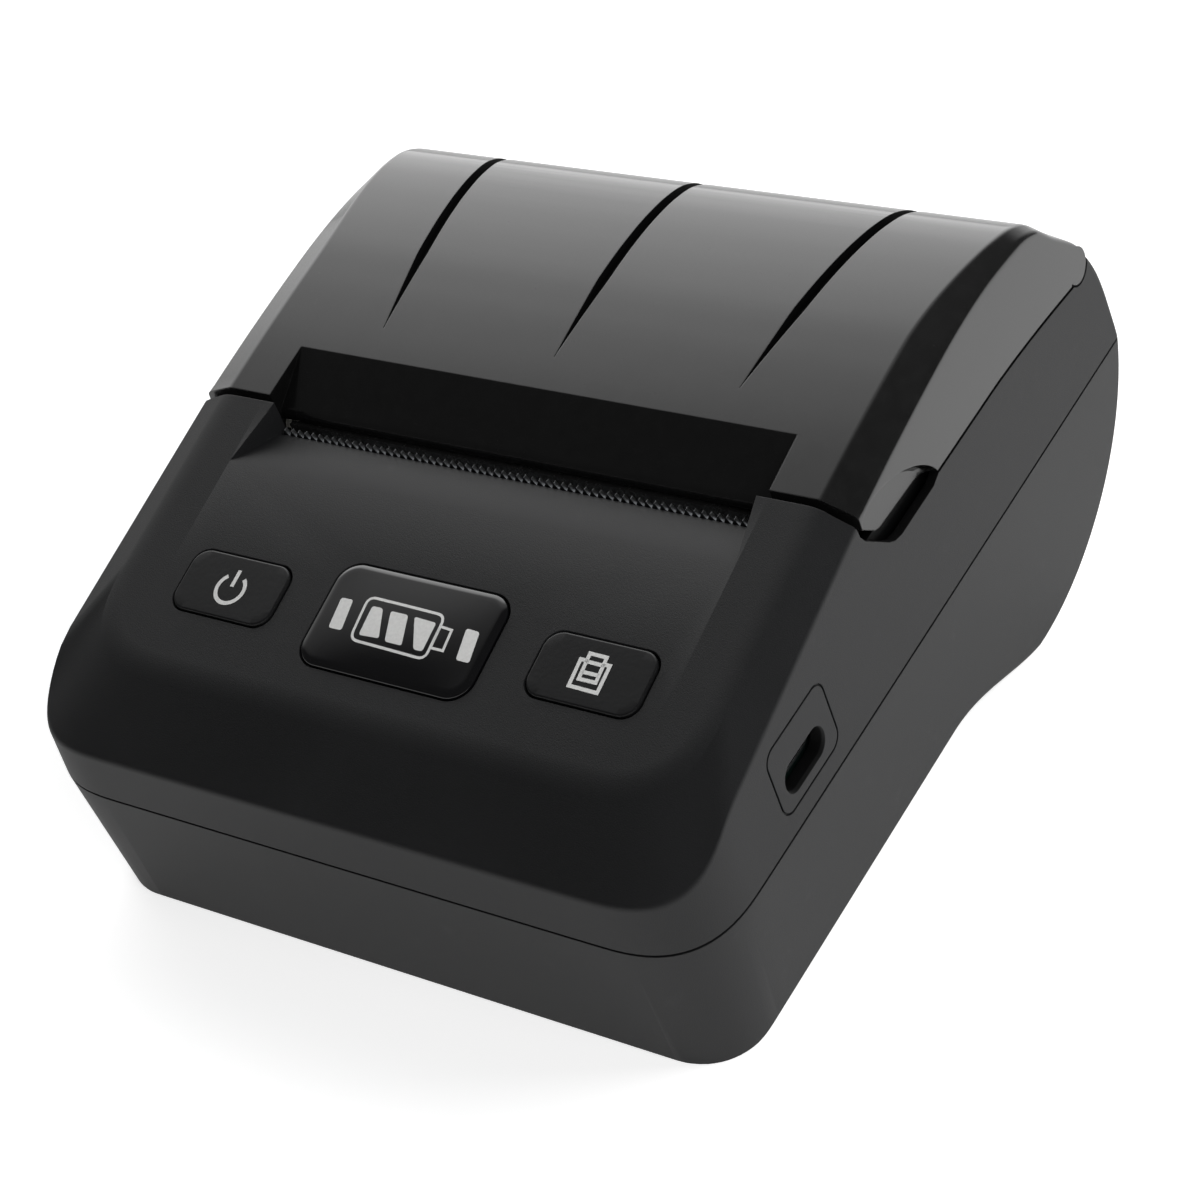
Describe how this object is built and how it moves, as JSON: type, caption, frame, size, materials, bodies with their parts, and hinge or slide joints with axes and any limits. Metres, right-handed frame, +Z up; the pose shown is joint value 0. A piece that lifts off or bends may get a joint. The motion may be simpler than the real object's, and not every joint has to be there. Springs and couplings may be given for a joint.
{
  "type": "portable thermal printer",
  "caption": "Portable thermal label and receipt printer: a black two-part case on a round roll belly, with a slotted smoky roll lid, serrated tear bar, two keys and a domed indicator window.",
  "frame": {"origin": "middle of the footprint, on the table that the printer stands on", "axes": "+X to the printer's right, +Y from the control panel to the hinge, +Z up; the case stands tilted by 5.7 degrees on its front edge and its round belly"},
  "size_m": [0.11, 0.1246, 0.0649],
  "materials": {
    "black_shell": "fine matt moulded black",
    "smoky_lid": "smoky, slightly see-through, polished",
    "black_plastic": "black moulded",
    "window": "domed gloss black",
    "steel": "bright",
    "aluminium": "satin",
    "rubber": "ground rubber",
    "nylon": "natural nylon",
    "board": "solder mask green",
    "cell_wrap": "shrink wrap",
    "ceramic": "glazed ceramic"
  },
  "bodies": {
    "base": {"lower_shell": "black_shell", "upper_shell": "black_shell", "hinge_pin_left": "steel", "hinge_pin_right": "steel", "mechanism_frame": "steel", "idler_stud": "steel", "feed_motor": "steel", "print_head": "ceramic", "head_heatsink": "aluminium", "head_spring_left": "steel", "head_spring_right": "steel", "tear_bar": "steel", "paper_tub": "black_plastic", "indicator_window": "window", "light_guide": "nylon", "panel_board": "board", "power_switch": "steel", "feed_switch": "steel", "battery_pack": "cell_wrap", "main_board": "board", "usb_c_receptacle": "steel", "paper_sensor": "black_plastic", "housing_screw_1": "steel", "housing_screw_2": "steel", "housing_screw_3": "steel", "housing_screw_4": "steel"},
    "lid": {"lid_cover": "smoky_lid", "platen_carrier": "black_plastic", "platen_bush_left": "nylon", "platen_bush_right": "nylon"},
    "platen": {"platen_shaft": "steel", "platen_roller": "rubber", "platen_gear": "nylon"},
    "idler": {"idler_gear": "nylon"},
    "pinion": {"motor_pinion": "steel"},
    "power_key": {"power_button": "black_plastic"},
    "feed_key": {"feed_button": "black_plastic"}
  },
  "joints": [
    {"name": "lid_hinge", "type": "hinge", "parent": "base", "child": "lid", "pos_m": [0, 0.05377, 0.05135], "axis": [-1, 0, 0], "range_deg": [0, 90]},
    {"name": "platen_spin", "type": "hinge", "parent": "lid", "child": "platen", "pos_m": [0, -0.00228, 0.0461], "axis": [1, 0, 0], "continuous": true},
    {"name": "idler_spin", "type": "hinge", "parent": "base", "child": "idler", "pos_m": [-0.0468, -0.01586, 0.03621], "axis": [1, 0, 0], "continuous": true},
    {"name": "pinion_spin", "type": "hinge", "parent": "base", "child": "pinion", "pos_m": [-0.0468, -0.02741, 0.02903], "axis": [1, 0, 0], "continuous": true},
    {"name": "power_press", "type": "slide", "parent": "base", "child": "power_key", "axis": [0, 0.3512, -0.9363], "range_m": [0, 0.0004], "stiffness_N_per_m": 400, "springref_m": -0.0005},
    {"name": "feed_press", "type": "slide", "parent": "base", "child": "feed_key", "axis": [0, 0.3512, -0.9363], "range_m": [0, 0.0004], "stiffness_N_per_m": 400, "springref_m": -0.0005}
  ],
  "couplings": [
    {"joint": "idler_spin", "follows": "platen_spin", "ratio": -0.75},
    {"joint": "pinion_spin", "follows": "platen_spin", "ratio": 1.8}
  ]
}
